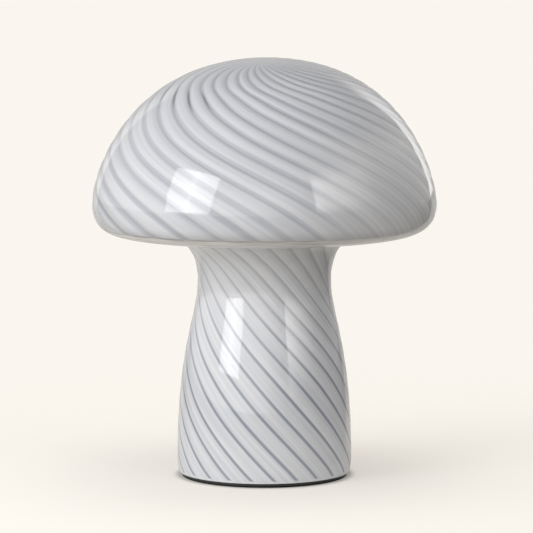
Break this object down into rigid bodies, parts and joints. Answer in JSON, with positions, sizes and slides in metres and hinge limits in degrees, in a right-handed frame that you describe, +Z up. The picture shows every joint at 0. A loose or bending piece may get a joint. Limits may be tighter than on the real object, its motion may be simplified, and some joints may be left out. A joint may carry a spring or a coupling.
{
  "type": "mushroom table lamp",
  "caption": "Table lamp with a blown mushroom of swirled opal glass that lifts off a thin black base carrying a small lampholder and bulb.",
  "frame": {"origin": "middle of the lamp's footprint on the table", "axes": "+Z up the lamp's axis, -Y to the front, the cord inlet at +Y"},
  "size_m": [0.1894, 0.1894, 0.2306],
  "materials": {
    "swirl_glass": "smooth, opal white ribs under clear glass",
    "clear_silicone": "soft, milky",
    "black_rubber": "matte",
    "black_foam": "matte, fine cells",
    "black_powder_coat": "satin, fine texture",
    "rivet_steel": "bright zinc",
    "zinc_steel": "bright zinc",
    "spring_steel": "rolled spring strip",
    "holder_plastic": "white heat-proof plastic",
    "insert_plastic": "white heat-proof plastic",
    "contact_brass": "rolled strip",
    "solder_tin": "soft solder",
    "black_glass": "dark fused glass",
    "nickel_cap": "nickel plated",
    "bulb_housing": "white",
    "board_white": "white solder mask",
    "opal_globe": "opal diffuser"
  },
  "bodies": {
    "base": {"base_plate": "black_powder_coat", "base_rivets": "rivet_steel", "centre_contact": "contact_brass", "clip_sleeve_1": "clear_silicone", "clip_sleeve_2": "clear_silicone", "clip_sleeve_3": "clear_silicone", "foot_pad": "black_foam", "holder_bracket": "zinc_steel", "holder_cap": "holder_plastic", "holder_insert": "insert_plastic", "holder_nipple": "zinc_steel", "holder_shell": "holder_plastic", "lock_nut": "zinc_steel", "lock_washer": "spring_steel", "neck_screw": "zinc_steel", "seat_gasket": "black_rubber", "side_contact": "contact_brass", "spring_clip_1": "spring_steel", "spring_clip_2": "spring_steel", "spring_clip_3": "spring_steel", "terminal_screws": "zinc_steel"},
    "glass": {"glass_body": "swirl_glass", "cord_inlet_bush": "clear_silicone"},
    "bulb": {"bulb_collar": "bulb_housing", "bulb_contact": "solder_tin", "bulb_globe": "opal_globe", "bulb_insulator": "black_glass", "bulb_led_board": "board_white", "bulb_screw_cap": "nickel_cap"}
  },
  "joints": [
    {"name": "glass_lift", "type": "slide", "parent": "base", "child": "glass", "axis": [0, 0, 1], "range_m": [0, 0.17]},
    {"name": "bulb_out", "type": "slide", "parent": "base", "child": "bulb", "axis": [0, 0, 1], "range_m": [0, 0.03]}
  ]
}
